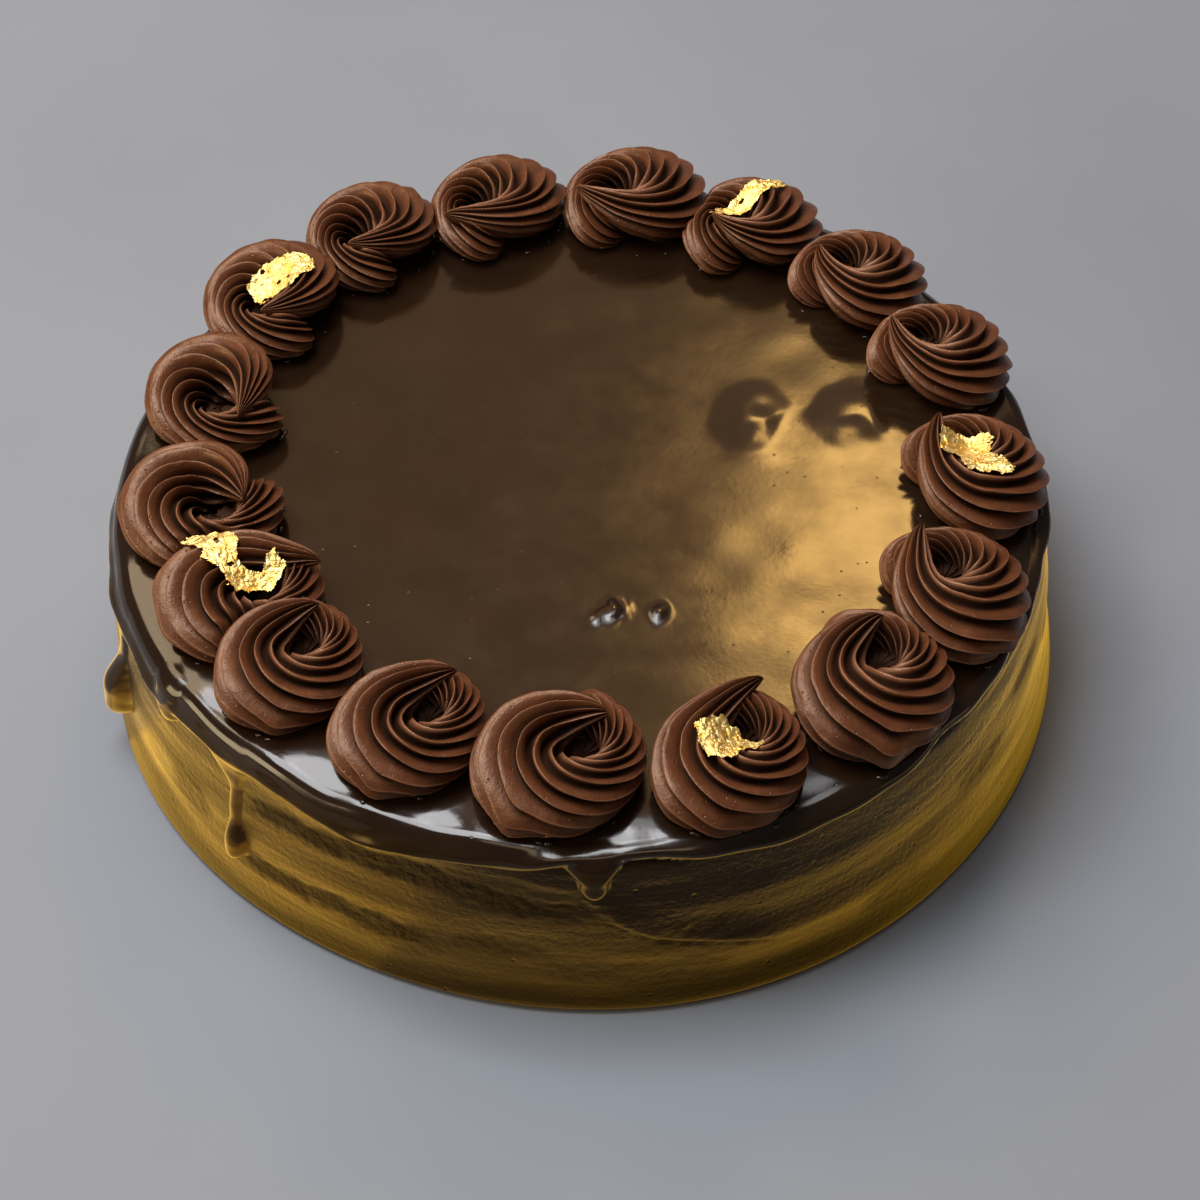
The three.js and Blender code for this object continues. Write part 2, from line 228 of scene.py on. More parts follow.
def noise(points, seed):
    """Smooth repeatable noise from -1 to 1 at an array of points."""
    cell = np.floor(points).astype(np.int64)
    part = points - cell
    part = part * part * (3 - 2 * part)
    total = np.zeros(points.shape[:-1])
    for corner in itertools.product((0, 1), repeat=3):
        spot = cell + np.array(corner)
        mixed = spot[..., 0] * 374761393 + spot[..., 1] * 668265263 + spot[..., 2] * 1274126177
        mixed = (mixed + seed * 69069) & 0xFFFFFFFF
        mixed = ((mixed ^ (mixed >> 15)) * 1103515245) & 0xFFFFFFFF
        mixed = ((mixed ^ (mixed >> 13)) * 668265263) & 0xFFFFFFFF
        value = (mixed >> 8) / 8388608 - 1
        total += value * np.prod(np.where(corner, part, 1 - part), axis=-1)
    return total


def grid_faces(rows, columns, turned_over):
    """Four-sided faces of a grid whose rows are closed rings."""
    row = np.arange(rows - 1)[:, None]
    column = np.arange(columns)[None, :]
    after = (column + 1) % columns
    corners = [
        row * columns + column,
        row * columns + after,
        (row + 1) * columns + after,
        (row + 1) * columns + column,
    ]
    if turned_over:
        corners.reverse()
    return np.stack(np.broadcast_arrays(*corners), axis=-1).reshape(-1, 4)


def closed_faces(rows, columns, turned_over):
    """Faces of such a grid with one more face over each end."""
    first = list(range(columns))
    last = list(range((rows - 1) * columns, rows * columns))
    if turned_over:
        last.reverse()
    else:
        first.reverse()
    return grid_faces(rows, columns, turned_over).tolist() + [first, last]


def make_piece(name, points, faces, material, node):
    """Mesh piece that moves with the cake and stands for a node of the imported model, if one is named."""
    mesh = bpy.data.meshes.new(name)
    mesh.from_pydata((points * MM).tolist(), [], [list(map(int, face)) for face in faces])
    mesh.polygons.foreach_set("use_smooth", [True] * len(mesh.polygons))
    mesh.materials.append(material)
    mesh.update()
    piece = bpy.data.objects.new(name, mesh)
    bpy.context.scene.collection.objects.link(piece)
    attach(piece, "root")
    if node:
        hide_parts(node)
    return piece


def add_values(piece, name, values):
    """Gives each point of a piece a value that its material reads."""
    layer = piece.data.attributes.new(name, "FLOAT", "POINT")
    layer.data.foreach_set("value", values.reshape(-1))


class Look:
    """Material with a principled shader, and short ways to add the nodes that vary it."""

    def __init__(self, name):
        self.material = bpy.data.materials.new(name)
        self.material.use_nodes = True
        self.tree = self.material.node_tree
        self.shader = self.tree.nodes["Principled BSDF"]
        self.place = self.add("ShaderNodeTexCoord").outputs["Object"]

    def add(self, kind, **settings):
        node = self.tree.nodes.new(kind)
        for name, value in settings.items():
            setattr(node, name, value)
        return node

    def link(self, source, target):
        self.tree.links.new(source, target)

    def stretched(self, scale):
        """Places in the object, stretched along each axis."""
        mapping = self.add("ShaderNodeMapping")
        mapping.inputs["Scale"].default_value = scale
        self.link(self.place, mapping.inputs["Vector"])
        return mapping.outputs["Vector"]

    def noise(self, scale, detail, where=None):
        node = self.add("ShaderNodeTexNoise")
        node.inputs["Scale"].default_value = scale
        node.inputs["Detail"].default_value = detail
        self.link(where or self.place, node.inputs["Vector"])
        return node.outputs["Fac"]

    def pits(self, scale, size):
        """Small round pits: 0 in a pit and 1 outside it."""
        node = self.add("ShaderNodeTexVoronoi")
        node.inputs["Scale"].default_value = scale
        self.link(self.place, node.inputs["Vector"])
        return self.ramp(node.outputs["Distance"], [(0, 0), (size, 1)])

    def ramp(self, source, stops):
        """Colour or grey ramp over a value."""
        node = self.add("ShaderNodeValToRGB")
        elements = node.color_ramp.elements
        while len(elements) < len(stops):
            elements.new(0.5)
        for element, (position, colour) in zip(elements, stops):
            element.position = position
            element.color = (*colour, 1) if isinstance(colour, tuple) else (colour, colour, colour, 1)
        self.link(source, node.inputs["Fac"])
        return node.outputs["Color"]

    def mixed(self, share, first, second):
        """Blend of two colours, each a colour or a socket."""
        node = self.add("ShaderNodeMix", data_type="RGBA")
        for socket, value in ((node.inputs[0], share), (node.inputs[6], first), (node.inputs[7], second)):
            if isinstance(value, bpy.types.NodeSocket):
                self.link(value, socket)
            else:
                socket.default_value = value
        return node.outputs[2]

    def bump(self, height, strength, distance, under=None):
        node = self.add("ShaderNodeBump")
        node.inputs["Strength"].default_value = strength
        node.inputs["Distance"].default_value = distance
        self.link(height, node.inputs["Height"])
        if under:
            self.link(under, node.inputs["Normal"])
        return node.outputs["Normal"]


def cream_look():
    look = Look("chocolate_cream")
    ridge = look.add("ShaderNodeAttribute", attribute_name="ridge").outputs["Fac"]
    groove_shade = look.add("ShaderNodeAttribute", attribute_name="groove_shade").outputs["Fac"]
    cloud = look.ramp(look.noise(160, 4), [(0.3, (0.069, 0.0215, 0.0084)), (0.7, (0.108, 0.036, 0.0147))])
    # painted shade: the colour darkens to near-black down in the grooves and in the hollow
    shade = look.mixed(look.ramp(groove_shade, [(0, 0), (0.75, 0.95)]), cloud, (0.007, 0.002, 0.0009, 1))
    # painted highlight: the crests of the ridges are lightened
    edge = look.ramp(ridge, [(0.35, 0), (1, 0.6)])
    colour = look.mixed(edge, shade, (0.3, 0.132, 0.07, 1))
    look.link(colour, look.shader.inputs["Base Color"])
    satin = look.ramp(look.noise(700, 3), [(0.3, 0.3), (0.7, 0.43)])
    look.link(look.mixed(groove_shade, satin, (0.85, 0.85, 0.85, 1)), look.shader.inputs["Roughness"])
    # painted shade on the reflections: the specular tint is dimmed in the grooves and in the hollow
    gleam = look.mixed(groove_shade, (1, 0.72, 0.52, 1), (0.35, 0.2, 0.12, 1))
    look.link(gleam, look.shader.inputs["Specular Tint"])
    grain = look.bump(look.noise(2200, 3), 0.25, 0.0003)
    waves = look.bump(look.noise(420, 3), 0.3, 0.0006, grain)
    look.link(look.bump(look.pits(520, 0.16), 0.5, 0.0004, waves), look.shader.inputs["Normal"])
    return look.material


def glaze_look():
    look = Look("chocolate_glaze")
    cloud = look.ramp(look.noise(45, 5), [(0.3, (0.0115, 0.0052, 0.0023)), (0.7, (0.0165, 0.0078, 0.0034))])
    side = look.add("ShaderNodeAttribute", attribute_name="side").outputs["Fac"]
    # painted reflection: the lip, sides and drips get a lighter golden-brown colour
    look.link(look.mixed(side, cloud, (0.017, 0.0088, 0.0034, 1)), look.shader.inputs["Base Color"])
    look.link(look.ramp(look.noise(120, 6), [(0.3, 0.1), (0.72, 0.2)]), look.shader.inputs["Roughness"])
    # painted reflection: a golden specular tint on the lip, sides and drips
    look.link(look.mixed(side, (1, 1, 1, 1), (0.5, 0.335, 0.14, 1)), look.shader.inputs["Specular Tint"])
    skin = look.bump(look.noise(900, 3), 0.03, 0.0003)
    look.link(look.bump(look.pits(230, 0.06), 0.25, 0.0003, skin), look.shader.inputs["Normal"])
    return look.material


def icing_look():
    look = Look("chocolate_icing")
    strokes = look.noise(1, 6, look.stretched((24, 24, 190)))
    torn_and_crease_shade = look.add("ShaderNodeAttribute", attribute_name="torn_and_crease_shade").outputs["Fac"]
    film = look.add("ShaderNodeAttribute", attribute_name="film").outputs["Fac"]
    spread = look.ramp(strokes, [(0.32, (0.012, 0.0068, 0.003)), (0.68, (0.03, 0.0175, 0.006))])
    # the torn bands are darker; along the crease under the ledge this darkening is painted shade
    torn_colour_and_crease_shade = look.mixed(torn_and_crease_shade, spread, (0.012, 0.007, 0.0036, 1))
    # painted shade: the colour is darker toward the foot
    low = look.add("ShaderNodeAttribute", attribute_name="low").outputs["Fac"]
    shaded = look.mixed(low, torn_colour_and_crease_shade, (0.007, 0.0038, 0.0018, 1))
    dark = look.mixed(film, shaded, (0.014, 0.0075, 0.0035, 1))
    # painted reflection: a lighter rim along the bottom edge
    foot = look.add("ShaderNodeAttribute", attribute_name="foot").outputs["Fac"]
    look.link(look.mixed(foot, dark, (0.055, 0.028, 0.014, 1)), look.shader.inputs["Base Color"])
    satin = look.ramp(strokes, [(0.35, 0.42), (0.65, 0.22)])
    dull = look.mixed(torn_and_crease_shade, satin, (0.65, 0.65, 0.65, 1))
    sleek = look.mixed(film, dull, (0.24, 0.24, 0.24, 1))
    look.link(look.mixed(low, sleek, (0.5, 0.5, 0.5, 1)), look.shader.inputs["Roughness"])
    # painted reflection: a golden specular tint, strongest on the smoother strokes, makes whatever the wall
    # mirrors look gold
    stroke_gloss_and_painted_gold = look.ramp(strokes, [(0.36, (0.38, 0.26, 0.08)), (0.62, (1, 0.76, 0.24))])
    # duller reflections in the torn bands, and painted shade along the crease under the ledge
    torn_tint_and_crease_shade = look.mixed(torn_and_crease_shade, stroke_gloss_and_painted_gold, (0.1, 0.07, 0.035, 1))
    filmed = look.mixed(film, torn_tint_and_crease_shade, (0.25, 0.17, 0.08, 1))
    # painted shade on the reflections: darker toward the foot
    look.link(look.mixed(low, filmed, (0.04, 0.028, 0.012, 1)), look.shader.inputs["Specular Tint"])
    look.shader.inputs["IOR"].default_value = 1.4
    grain = look.bump(look.noise(900, 5), 0.3, 0.0005)
    drag = look.bump(look.noise(1, 5, look.stretched((60, 60, 700))), 0.22, 0.0005, grain)
    crumbs = look.mixed(torn_and_crease_shade, (0.5, 0.5, 0.5, 1), look.noise(520, 4))
    rough = look.bump(crumbs, 0.8, 0.0009, drag)
    look.link(look.bump(look.pits(150, 0.09), 0.6, 0.0007, rough), look.shader.inputs["Normal"])
    return look.material


def gold_look():
    look = Look("gold_leaf")
    look.shader.inputs["Metallic"].default_value = 1
    colour = look.ramp(look.noise(420, 4), [(0.3, (1, 0.62, 0.13)), (0.62, (1, 0.83, 0.38))])
    look.link(colour, look.shader.inputs["Base Color"])
    look.link(look.ramp(look.noise(900, 3), [(0.3, 0.34), (0.7, 0.56)]), look.shader.inputs["Roughness"])
    look.link(look.bump(look.noise(1100, 4), 0.9, 0.0008), look.shader.inputs["Normal"])
    return look.material


def wobble(turn):
    """How far the cake is out of round."""
    return WALL_WOBBLE * (0.75 * np.cos(3 * turn + math.pi) + 0.25 * np.cos(5 * turn + 0.6))


def wall_field(turn, height, around, up, seed):
    """Noise over the wall, with so many patches round it and such a height to each."""
    spots = np.stack([np.cos(turn) * around, np.sin(turn) * around, height / up], axis=-1)
    return noise(spots, seed)


def azimuth_of(turn):
    """Azimuth in degrees, from -180 to 180."""
    return np.degrees((turn + math.pi) % (2 * math.pi) - math.pi)


def above_line(turn, height, line):
    """Height above a line across the wall, and how far a spot is within the line's ends."""
    azimuth = azimuth_of(turn)
    level = np.interp(azimuth, [spot[0] for spot in line], [spot[1] for spot in line])
    ends = smooth(line[0][0] - 3, line[0][0] + 3, azimuth) * smooth(line[-1][0] + 3, line[-1][0] - 3, azimuth)
    return height - level, ends


def torn_and_crease_shade_share(turn, height):
    """Where the knife tore the icing: two bands at the front and some patches elsewhere, and the crease under
    the ledge, where the darkening is painted shade.
    """
    ragged = height + 1.3 * wall_field(turn, height, 30, 2, 6)
    patches = 0.45 * smooth(0.3, 0.62, wall_field(turn, height, 5, 6, 5))
    share = patches * smooth(6, 10, height) * smooth(36, 32, height)
    for line, thick in ((TORN_HIGH, 3.8), (TORN_LOW, 3.4)):
        above, ends = above_line(turn, ragged, line)
        share = np.maximum(share, ends * smooth(thick, 0.35 * thick, np.abs(above)))
    # painted shade: a narrow dark line along the crease under the ledge
    above, ends = above_line(turn, height, LEDGE)
    return np.maximum(share, ends * smooth(0.9, 0.3, np.abs(above + 0.3)))


def film_share(turn, height):
    """Where a thin film of glaze ran on below the lip."""
    above, ends = above_line(turn, height + 0.5 * wall_field(turn, height, 22, 3, 7), FILM_EDGE)
    thin = (0.72 + 0.25 * wall_field(turn, height, 12, 5, 8)) * smooth(-48, -74, azimuth_of(turn))
    return ends * thin * smooth(-1, 1.2, above)


def wall_relief(turn, height):
    """How far the hand-spread icing stands out from the plain wall."""
    turn, height = np.broadcast_arrays(turn, height)
    level = height + 1.5 * np.sin(2 * turn + 0.7) + 0.8 * np.sin(5 * turn)
    relief = 0.4 * wall_field(turn, level, 2.2, 7, 1) + 0.07 * wall_field(turn, level, 8, 2, 2)
    torn_and_crease_shade = torn_and_crease_shade_share(turn, height)
    relief = relief + torn_and_crease_shade * (0.22 * wall_field(turn, level, 40, 1.5, 3) - 0.2)
    above, ends = above_line(turn, height, LEDGE)
    relief = relief + 0.55 * ends * smooth(-0.3, 0.3, above) * smooth(9, 0.5, above)
    relief = relief + 0.3 * film_share(turn, height)
    return relief * smooth(0.3, 3, height) * smooth(44, 39, height)


def on_icing(run, turn, lift):
    """Point on the iced cake, a run from where the flat top turns over, lifted off the surface."""
    bend = np.minimum(run / SHOULDER_RADIUS, math.pi / 2)
    drop = np.maximum(run - SHOULDER_ARC, 0)
    plain_height = CAKE_TOP - SHOULDER_RADIUS + SHOULDER_RADIUS * np.cos(bend) - drop
    reach = SHOULDER_RADIUS + lift + wall_relief(turn, plain_height)
    flat = WALL_TOP_RADIUS - SHOULDER_RADIUS + wobble(turn)
    radius = flat + reach * np.sin(bend) + drop * WALL_SLOPE
    height = CAKE_TOP - SHOULDER_RADIUS + reach * np.cos(bend) - drop
    return np.stack([radius * np.cos(turn), radius * np.sin(turn), height], axis=-1)


def make_icing(look):
    turn = np.linspace(0, 2 * math.pi, ICING_COLUMNS, endpoint=False)[None, :]
    over = np.linspace(0, SHOULDER_ARC, SHOULDER_ROWS)
    down = SHOULDER_ARC + np.linspace(0, WALL_DROP, WALL_ROWS)[1:]
    run = np.concatenate([over, down])[:, None]
    wall = on_icing(run, turn, np.zeros((len(run), ICING_COLUMNS)))
    foot_radius = FOOT_RADIUS - FOOT_BEVEL + wobble(turn[0])
    foot = np.stack([foot_radius * np.cos(turn[0]), foot_radius * np.sin(turn[0]), 0 * turn[0]], axis=-1)
    rings = np.concatenate([wall, foot[None]])
    faces = closed_faces(len(rings), ICING_COLUMNS, True)
    piece = make_piece("spread_icing", rings.reshape(-1, 3), faces, look, "cake")
    height = np.append(CAKE_TOP - SHOULDER_RADIUS - run + SHOULDER_ARC, 0)[:, None]
    turns, heights = np.broadcast_arrays(turn, height)
    add_values(piece, "torn_and_crease_shade", torn_and_crease_shade_share(turns, heights))
    add_values(piece, "film", film_share(turns, heights))
    # painted shade toward the foot
    add_values(piece, "low", smooth(13, 3.5, heights + 2 * wall_field(turns, heights, 6, 8, 9)))
    # painted reflection: a lighter rim along the foot
    add_values(piece, "foot", 0.8 * smooth(1.8, 0.9, heights))


def lip_run(turn):
    """How far the glaze runs down from where the flat top turns over."""
    swing = RUN_SWING * np.cos(turn - math.radians(RUN_HEADING))
    ripple = np.cos(7 * turn + 1) + 0.7 * np.cos(12 * turn)
    uneven = 0.45 * np.cos(19 * turn + 2 * np.cos(3 * turn)) + 0.25 * np.cos(41 * turn + 3 * np.sin(2 * turn))
    short = FRONT_SHORT * np.exp(-((np.degrees(turn) + 89) / 9) ** 2)
    return RUN_MEAN + swing + RUN_RIPPLE * ripple + uneven - short


def glaze_columns():
    """Turns of the glaze's columns, closer together across each drip."""
    plain = np.linspace(-math.pi, math.pi, GLAZE_COLUMNS, endpoint=False)
    across = np.linspace(-DRIP_REACH, DRIP_REACH, DRIP_COLUMNS) / WALL_TOP_RADIUS
    fine = np.concatenate([math.radians(drip[0]) + across for drip in DRIPS])
    fine = (fine + math.pi) % (2 * math.pi) - math.pi
    apart = np.abs(plain[:, None] - fine[None, :])
    clear = np.min(np.minimum(apart, 2 * math.pi - apart), axis=1) > 0.004
    return np.sort(np.concatenate([plain[clear], fine]))


def drip_thickness(run, turn, drip):
    """Thickness of one drip over the icing, below zero away from it."""
    azimuth, length, width, bulb, web = drip
    middle = math.radians(azimuth)
    aside = ((turn - middle + math.pi) % (2 * math.pi) - math.pi) * WALL_TOP_RADIUS
    aside = aside + 0.35 * np.sin(run / 4 + azimuth)
    below = run - lip_run(np.array(middle))
    tip = width / 2
    stem = 0.55 if length > 12 else 0.9
    swell = smooth(length - 2 * width, length - 0.8 * width, below)
    flare = 1 + (1 if length > 7 else 0.25) * smooth(4.5, -1, below)
    half = tip * blend(stem, 1, swell) * flare
    half = np.where(aside < 0, half + web * smooth(8, -1, below) ** 1.5, half)
    past = np.clip((below - (length - tip)) / tip, 0, 1)
    half = half * np.sqrt(1 - past * past) + 0.001
    crown = blend(0.9, bulb, swell)
    inside = 1 - (aside / half) ** 2
    thick = crown * np.sqrt(np.maximum(inside, 0)) * np.sqrt(1 - past ** 4)
    outside = np.minimum((np.abs(aside) - half) / 0.8, 1)
    return np.where((inside > 0) & (below < length), thick, -0.5 * np.where(below < length, outside, 1))


def edge_sag(turn):
    """How far the glaze sags where the flat top turns over."""
    around = np.stack([np.cos(turn) * 9, np.sin(turn) * 9, 0 * turn], axis=-1)
    return EDGE_SAG * (1 + 0.75 * noise(around, 12))


def glaze_thickness(run, turn):
    """Thickness of the glaze over the icing, below zero where there is none."""
    around = np.stack([np.cos(turn) * 5, np.sin(turn) * 5, run / 6], axis=-1)
    edge = lip_run(turn) - run
    bead = LIP_THICK * (1 + 0.45 * noise(around, 11) + 0.3 * noise(2.6 * around, 13))
    rounded = np.sqrt(np.maximum(1 - (1 - np.clip(edge / 1.5, 0, 1)) ** 2, 0))
    film = blend(0.65, bead, smooth(4, 1, edge))
    crown = GLAZE_TOP - CAKE_TOP - edge_sag(turn)
    lip = blend(crown, film * rounded, smooth(0, 4.2, run))
    lip = np.where(edge > 0, lip, -0.5 * np.minimum(-edge / 0.8, 1))
    for drip in DRIPS:
        lip = soft_top(lip, drip_thickness(run, turn, drip), 0.7)
    return np.where(lip < 0, EDGE_DIVE * lip, lip)


def glaze_relief(x, y):
    """Height of the poured surface above its level: slow waves, low bumps and small marks."""
    flat = np.stack([x, y, 0 * x], axis=-1)
    right = smooth(0, 45, x)
    relief = (0.035 + 0.06 * right) * noise(flat / 21, 21) + (0.006 + 0.07 * right) * noise(flat / 9, 22)
    for place_x, place_y, length, width, heading, height, uneven in MARKS:
        angle = math.radians(heading)
        off_x = x - place_x + 0.16 * uneven * width * noise(flat / (0.3 * width), 25)
        off_y = y - place_y + 0.16 * uneven * width * noise(flat / (0.3 * width), 26)
        along = off_x * math.cos(angle) + off_y * math.sin(angle)
        across = off_y * math.cos(angle) - off_x * math.sin(angle)
        apart = (2 * along / length) ** 2 + (2 * across / width) ** 2
        dent = 1 + uneven * noise(flat / (0.24 * width), 23)
        relief = relief + height * dent * np.maximum(1 - apart, 0) ** 2
    return relief * smooth(95, 88, np.hypot(x, y))


def make_glaze(look):
    turn = glaze_columns()[None, :]
    columns = turn.shape[1]
    edge_radius = WALL_TOP_RADIUS - SHOULDER_RADIUS + wobble(turn)
    inner = np.linspace(0.012, 0.32, 12)[:-1]
    marked = np.linspace(0.32, 0.6, 24)[:-1]
    bordered = np.linspace(0.6, 1, 60)[:-1]
    share = np.concatenate([inner, marked, bordered])[:, None]
    x = share * edge_radius * np.cos(turn)
    y = share * edge_radius * np.sin(turn)
    sag = edge_sag(turn) * np.maximum(1 - (1 - share) * edge_radius / 9, 0) ** 2
    top = np.stack([x, y, GLAZE_TOP + glaze_relief(x, y) - sag], axis=-1)
    run = np.concatenate([np.linspace(0, 14, 38), np.linspace(14, 42, 60)[1:]])[:, None]
    thick = glaze_thickness(run + 0 * turn, turn + 0 * run)
    band = on_icing(run, turn, thick)
    rings = np.concatenate([top, band])
    seen = np.concatenate([np.ones(x.shape), thick]) > HIDDEN_LIFT
    faces = grid_faces(len(rings), columns, True)
    faces = faces[np.any(seen.reshape(-1)[faces], axis=1)]
    used = np.unique(np.concatenate([faces.reshape(-1), np.arange(columns)]))
    number = np.full(rings.shape[0] * columns, -1)
    number[used] = np.arange(len(used))
    faces = number[faces].tolist()
    faces.append(list(range(columns)))
    piece = make_piece("poured_glaze", rings.reshape(-1, 3)[used], faces, look, "glaze")
    # where the glaze gets its painted golden reflection: the lip, sides and drips
    side = np.concatenate([0 * x, smooth(1.5, 5, run) + 0 * turn])
    add_values(piece, "side", side.reshape(-1)[used])
    return piece


def heading(turn):
    """Level direction at an angle in radians."""
    return np.stack([np.cos(turn), np.sin(turn)], axis=-1)


def curve(first, control, last, along):
    """Plain curve between two places, drawn toward a third."""
    return blend(blend(first, control, along), blend(control, last, along), along)


def bead_path(reach):
    """The bead from its start to its tip: place of its edge at the hollow, sideways angle, twist, half width,
    rise, middle height, and how far each place is still part of the ring and not of the straight tail."""
    ring_turn = np.radians(np.linspace(BEAD_START, TAIL_START, RING_STEPS))
    share = (0.5 + 0.5 * np.cos(ring_turn - math.radians(WIDE_HEADING))) ** 1.3
    grown = blend(0.15, 1, smooth(0, math.radians(START_TAPER), ring_turn[0] - ring_turn))
    ring_half = blend(BEAD_SLIM, BEAD_WIDE, share) * grown
    ring_rise = blend(RISE_SLIM, RISE_WIDE, share) * grown
    ring_edge = HOLLOW_RADIUS * heading(ring_turn)
    along = np.linspace(0, 1, TAIL_STEPS + 1)[1:]
    tip = TIP_ORBIT * reach * heading(math.radians(TIP_TURN))
    ahead = ring_edge[-1] + TAIL_EASE * heading(ring_turn[-1] - math.pi / 2)
    tail_edge = curve(ring_edge[-1], ahead, tip, along[:, None])
    bend = math.radians(TAIL_BEND) * (1 - (1 - along) ** 1.6)
    slim = (1 - along ** 1.4) ** (0.6 + 0.25 * max(reach - 1.1, 0))
    return (
        np.concatenate([ring_edge, tail_edge]),
        np.concatenate([ring_turn, ring_turn[-1] + bend]),
        np.concatenate([ring_turn, ring_turn[-1] + 0.6 * bend]),
        np.concatenate([ring_half, ring_half[-1] * slim]),
        np.concatenate([ring_rise, ring_rise[-1] * (1 - along) ** 0.5]),
        np.concatenate([BEAD_MIDDLE * grown, blend(BEAD_MIDDLE, TIP_HEIGHT, along ** 1.2)]),
        np.concatenate([np.ones(RING_STEPS), smooth(0.3, 0.05, along)]),
    )


def star_teeth(seed):
    """Columns round a bead piped through a star tip: the angle of each, how far it is from one ridge to the
    next, and how deep its groove is."""
    draws = np.random.default_rng(seed)
    tooth = np.repeat(np.arange(TEETH), len(ACROSS_TOOTH))
    phase = np.tile(ACROSS_TOOTH, TEETH)
    uneven = draws.uniform(-0.12, 0.12, TEETH)
    shift = np.interp(tooth + phase, np.arange(TEETH + 1), np.append(uneven, uneven[0]))
    station = 2 * math.pi * (tooth + phase + shift) / TEETH
    return station, phase, TOOTH_DEPTH * draws.uniform(0.8, 1.2, TEETH)[tooth]


def rosette_points(reach, lobe, floor, seed):
    """Points of a rosette about its hollow's axis, for the usual width, and two values for each: how much
    painted highlight it gets near a ridge's crest, less inside the hollow, and how much painted shade it gets
    deep in a groove or in the hollow."""
    edge, side, twist, half, rise, middle, ring = [value[:, None] for value in bead_path(reach)]
    station, phase, depth = star_teeth(seed)
    angle = np.mod(station - twist, 2 * math.pi)
    outer = smooth(1.2, 0.3, np.abs((angle + math.pi) % (2 * math.pi) - math.pi + 0.25))
    sagged = lobe * np.exp(-((side - math.radians(LOBE_TURN)) / 0.14) ** 2) * outer * ring
    groove = depth * np.sin(math.pi * phase ** 2.2) ** 0.75 * (1 - 0.2 * np.minimum(sagged, 3))
    path = np.arange(len(side))[:, None] * np.ones_like(angle)
    field = np.stack([station * 9 + 0 * path, path * 0.35, 0 * path + seed], axis=-1)
    crest = np.exp(-(np.minimum(phase, 1 - phase) / 0.04) ** 2) * np.ones_like(angle)
    size = 1 - groove + 0.02 * crest * noise(field, 31)
    fin = 0.6 * crest * outer * ring / (1 + sagged)
    reach_out = half + half * size * np.cos(angle) + fin + sagged
    height = middle + rise * size * np.sin(angle) - 0.5 * sagged
    down = np.where(angle < 1.5 * math.pi, np.clip(angle / math.pi * 2 - 2, 0, 1), 0)
    funnel = ring * (down > 0)
    across = heading(side)
    inner = edge + (half * (1 - size))[..., None] * across
    bearing = np.arctan2(inner[..., 1], inner[..., 0]) + HOLLOW_SWIRL * down ** 1.5
    funnel_radius = blend(np.hypot(inner[..., 0], inner[..., 1]), 0.05, down ** 1.3)
    funnel_wall = funnel_radius[..., None] * heading(bearing)
    level = blend(edge + reach_out[..., None] * across, funnel_wall, funnel[..., None])
    height = blend(height, blend(middle, floor, down), funnel)
    points = np.concatenate([level, height[..., None]], axis=-1)
    for axis in range(3):
        points[..., axis] += 0.3 * noise(points / 7 + seed * 3.1, 41 + axis)
    points[..., 2] = np.maximum(points[..., 2], -0.6)
    # painted shade for the valleys, the bead's inner face and the floor of the hollow; the painted highlight
    # on the crests is weakened inside the hollow
    inward = smooth(0.6 * math.pi, 1.1 * math.pi, angle) * (angle < 1.5 * math.pi)
    valley = smooth(0.4, 0.76, phase) * smooth(1, 0.9, phase) * (1 - 0.5 * funnel * down)
    groove_shade = np.maximum(valley, 0.7 * inward * ring * smooth(8, 4, floor))
    pit = funnel * smooth(0.1, 0.9, down) * smooth(7, 3, floor)
    return points, crest * (1 - 0.7 * inward), np.maximum(groove_shade, pit)


def rosette_place(row):
    """Turns points about a rosette's hollow into points of the cake."""
    orbit, azimuth, width, turn = row[:4]
    outward = math.radians(azimuth)
    scale = width / ROSETTE_WIDTH
    facing = outward + math.radians(turn)
    to_hollow = facing + math.radians(HOLLOW_HEADING)
    shift = scale * HOLLOW_SHIFT
    x = orbit * math.cos(outward) + shift * math.cos(to_hollow)
    y = orbit * math.sin(outward) + shift * math.sin(to_hollow)
    turned = np.array([
        [math.cos(facing), -math.sin(facing), 0],
        [math.sin(facing), math.cos(facing), 0],
        [0, 0, 1],
    ])
    return scale * turned, np.array([x, y, GLAZE_TOP])


def make_rosette(index, look):
    row = ROSETTES[index]
    over = ROSETTES[index - 1]
    points, ridge, groove_shade = rosette_points(*row[4:], 100 + index)
    steps, columns = ridge.shape
    turned, place = rosette_place(row)
    points = points.reshape(-1, 3) @ turned.T + place
    droop = EDGE_DROOP * smooth(86, 101, np.hypot(points[:, 0], points[:, 1]))
    points[:, 2] -= droop * smooth(10, 0, points[:, 2] - GLAZE_TOP)
    over_x = over[0] * math.cos(math.radians(over[1]))
    over_y = over[0] * math.sin(math.radians(over[1]))
    apart = np.hypot(points[:, 0] - over_x, points[:, 1] - over_y)
    covered = smooth(over[2] / 2 - 1.5, over[2] / 2 - 5, apart)
    points[:, 2] = blend(points[:, 2], np.minimum(points[:, 2], GLAZE_TOP + 3), covered)
    name = f"{index + 1:02d}"
    faces = closed_faces(steps, columns, False)
    piece = make_piece(f"piped_rosette_{name}", points, faces, look, f"rosette_{name}")
    add_values(piece, "ridge", ridge)
    add_values(piece, "groove_shade", groove_shade)
    return piece


